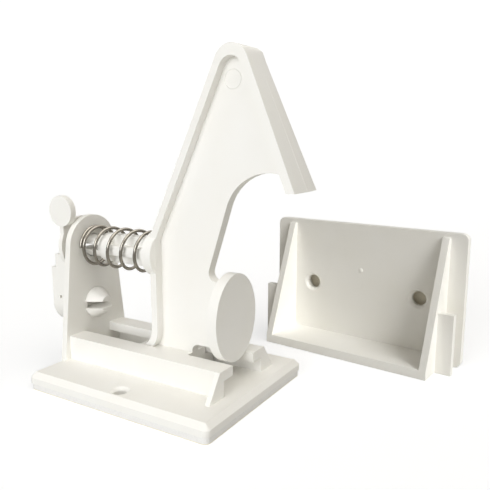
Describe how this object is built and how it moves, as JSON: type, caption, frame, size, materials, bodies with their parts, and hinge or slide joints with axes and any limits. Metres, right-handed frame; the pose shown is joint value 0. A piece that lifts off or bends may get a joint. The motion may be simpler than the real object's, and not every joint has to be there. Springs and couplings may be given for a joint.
{
  "type": "adhesive child-safety cabinet latch",
  "caption": "Child-safety cabinet latch: base with T-slot rails and upright, spring-loaded sliding hook with push pad, lock-off lever, and a separate catch bracket.",
  "frame": {"origin": "centre of the latch base's underside (the adhesive side)", "axes": "+X along the rails, from the upright to the open end with the push pad; +Y from the front rail to the rear rail, towards the catch; +Z away from the mounting surface, up the hook"},
  "size_m": [0.108, 0.0872, 0.0903],
  "materials": {
    "white_moulding": "satin warm-white injection moulding",
    "foam_tape": "white closed-cell foam tape",
    "release_liner": "coated paper release liner",
    "spring_wire": "bright drawn spring wire"
  },
  "bodies": {
    "base": {"base_plate": "white_moulding", "base_foam_pad": "foam_tape", "base_liner": "release_liner", "return_spring": "spring_wire"},
    "hook": {"hook_slider": "white_moulding"},
    "lever": {"lock_lever": "white_moulding"},
    "catch": {"catch_bracket": "white_moulding", "catch_foam_pad": "foam_tape", "catch_liner": "release_liner"}
  },
  "joints": [
    {"name": "hook_slide", "type": "slide", "parent": "base", "child": "hook", "axis": [-1, 0, 0], "range_m": [0, 0.0062], "stiffness_N_per_m": 350, "springref_m": -0.006, "deforming": ["return_spring"]},
    {"name": "lever_swing", "type": "hinge", "parent": "base", "child": "lever", "pos_m": [-0.0305, 0, 0.0196], "axis": [1, 0, 0], "range_deg": [0, 16]},
    {"name": "catch_place", "type": "slide", "parent": "base", "child": "catch", "axis": [0, 1, 0], "range_m": [0, 0.03]}
  ]
}
